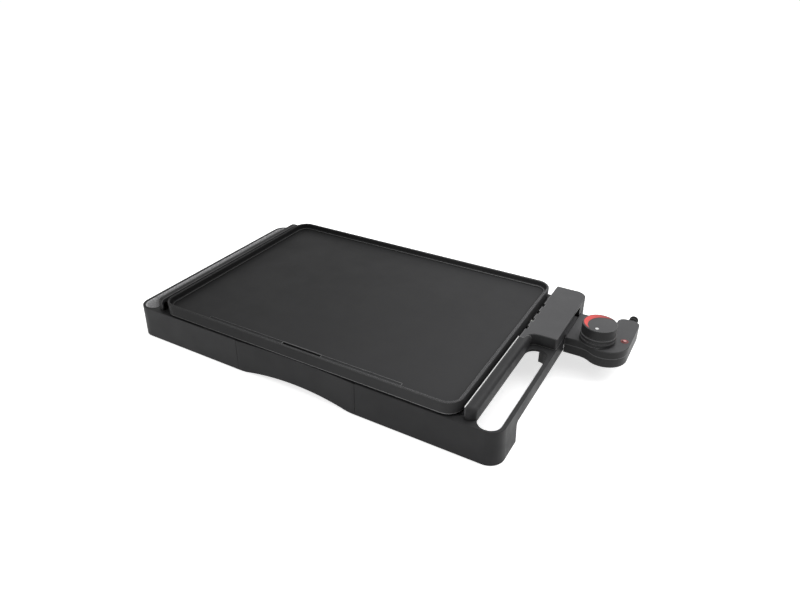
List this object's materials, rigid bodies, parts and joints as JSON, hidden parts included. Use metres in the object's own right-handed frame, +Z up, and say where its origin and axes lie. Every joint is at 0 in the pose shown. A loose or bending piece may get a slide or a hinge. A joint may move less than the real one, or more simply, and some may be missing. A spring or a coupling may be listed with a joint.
{
  "type": "electric plancha griddle",
  "caption": "Flat electric griddle with a lift-off cast plate, hand slots at both ends, a grease drawer in front and a plug-in thermostat with a dial.",
  "frame": {"origin": "on the surface that the griddle stands on, below the middle of the whole object with its thermostat plugged in", "axes": "+Z up; +X along the long side, towards the thermostat; -Y is the front, with the grease drawer"},
  "size_m": [0.6412, 0.3272, 0.0762],
  "materials": {
    "base_plastic": "satin black moulding",
    "cover_plastic": "satin black moulding",
    "plate_coating": "non-stick coating on cast aluminium",
    "bright_steel": "bright sheet steel",
    "heater_tube": "dark oxidised tube",
    "clip_steel": "plain steel",
    "pin_metal": "plain steel",
    "ceramic": "glazed ceramic",
    "drawer_plastic": "satin black moulding",
    "runner_plastic": "plain black moulding",
    "grip_plastic": "light grey moulding",
    "foot_rubber": "soft black rubber",
    "screw_steel": "zinc-plated",
    "shell_plastic": "satin black moulding",
    "nose_plastic": "plain black moulding",
    "contact_brass": "plain brass",
    "probe_steel": "polished",
    "unit_plastic": "plain moulding",
    "knob_plastic": "satin black moulding",
    "mark_red": "red inlay",
    "mark_white": "white inlay",
    "lens_red": "tinted clear moulding",
    "lamp_glass": "clear",
    "gland_rubber": "flexible black moulding"
  },
  "bodies": {
    "base": {"base_frame": "base_plastic", "rubber_feet": "foot_rubber", "socket_cover": "cover_plastic", "cover_screws": "screw_steel", "grip_pad_left": "grip_plastic", "grip_pad_right": "grip_plastic", "heat_reflector": "bright_steel", "reflector_screws": "screw_steel", "element_clips": "clip_steel", "heating_element": "heater_tube", "terminal_block": "ceramic", "terminal_pins": "pin_metal", "probe_sleeve": "pin_metal", "plate_rests": "ceramic", "tray_runner_left": "runner_plastic", "tray_runner_right": "runner_plastic", "runner_screws": "screw_steel"},
    "plate": {"griddle_plate": "plate_coating"},
    "drawer": {"drip_tray": "drawer_plastic", "tray_front": "drawer_plastic"},
    "controller": {"controller_lower_shell": "shell_plastic", "controller_upper_shell": "shell_plastic", "controller_nose": "nose_plastic", "contact_sockets": "contact_brass", "probe_rod": "probe_steel", "thermostat_unit": "unit_plastic", "indicator_lamp": "lamp_glass", "indicator_lens": "lens_red", "cable_gland": "gland_rubber", "cord_clamp": "nose_plastic", "clamp_screws": "screw_steel", "shell_screws": "screw_steel"},
    "knob": {"knob_shaft": "pin_metal", "control_knob": "knob_plastic", "knob_mark": "mark_red", "pointer_dot": "mark_white"}
  },
  "joints": [
    {"name": "plate_lift", "type": "slide", "parent": "base", "child": "plate", "axis": [0, 0, 1], "range_m": [0, 0.06]},
    {"name": "drawer_pull", "type": "slide", "parent": "base", "child": "drawer", "axis": [0, -1, 0], "range_m": [0, 0.13]},
    {"name": "controller_unplug", "type": "slide", "parent": "base", "child": "controller", "axis": [1, 0, 0], "range_m": [0, 0.066]},
    {"name": "dial_turn", "type": "hinge", "parent": "controller", "child": "knob", "pos_m": [0.28055, 0.0707, 0.0511], "axis": [0, 0, 1], "range_deg": [-270, 0]}
  ]
}
